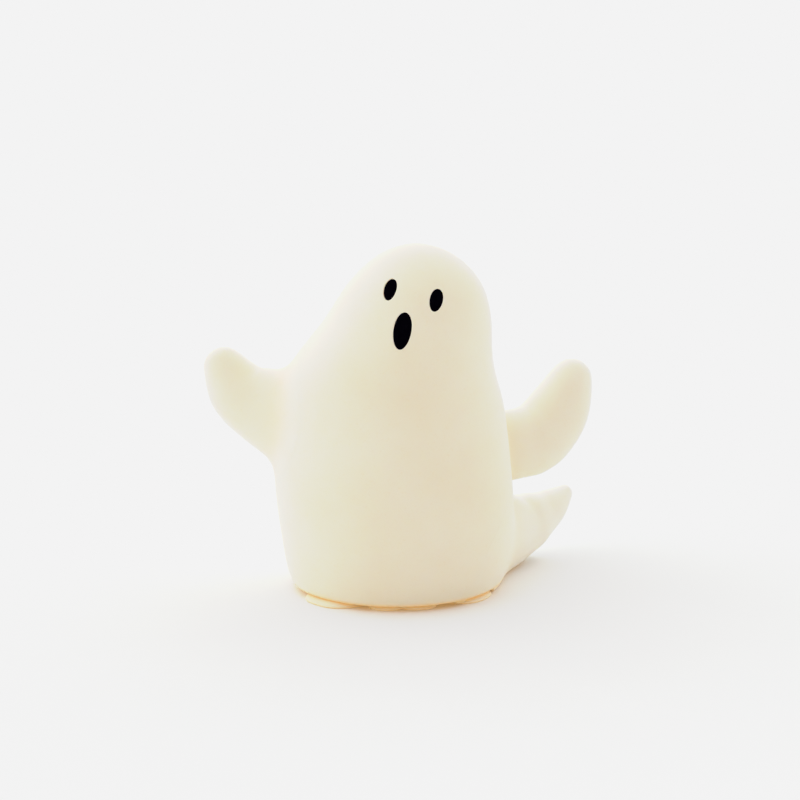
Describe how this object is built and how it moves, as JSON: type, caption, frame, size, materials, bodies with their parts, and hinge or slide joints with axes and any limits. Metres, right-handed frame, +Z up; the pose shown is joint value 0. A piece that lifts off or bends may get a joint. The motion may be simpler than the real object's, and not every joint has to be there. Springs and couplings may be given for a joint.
{
  "type": "ghost figurine",
  "caption": "Free-standing ceramic ghost ornament with a leaning rounded body, raised flipper arms, a tail at one side and an oval-eyed face.",
  "frame": {"origin": "middle of the hem plate's underside, on the table", "axes": "+Z up; the face looks along -Y; the body leans to +X and the tail lies at +X, +Y"},
  "size_m": [0.1702, 0.1088, 0.1485],
  "materials": {
    "cream_ceramic": "matte cream ceramic with a fine dry surface and a few pinholes",
    "hem_ceramic": "matte cream ceramic, slightly warmer where it meets the table",
    "black_ceramic": "dead matte black"
  },
  "bodies": {
    "root": {"body_shell": "cream_ceramic", "hem_plate": "hem_ceramic", "right_arm": "cream_ceramic", "left_arm": "cream_ceramic", "tail": "cream_ceramic", "right_eye": "black_ceramic", "left_eye": "black_ceramic", "mouth": "black_ceramic"}
  },
  "joints": []
}
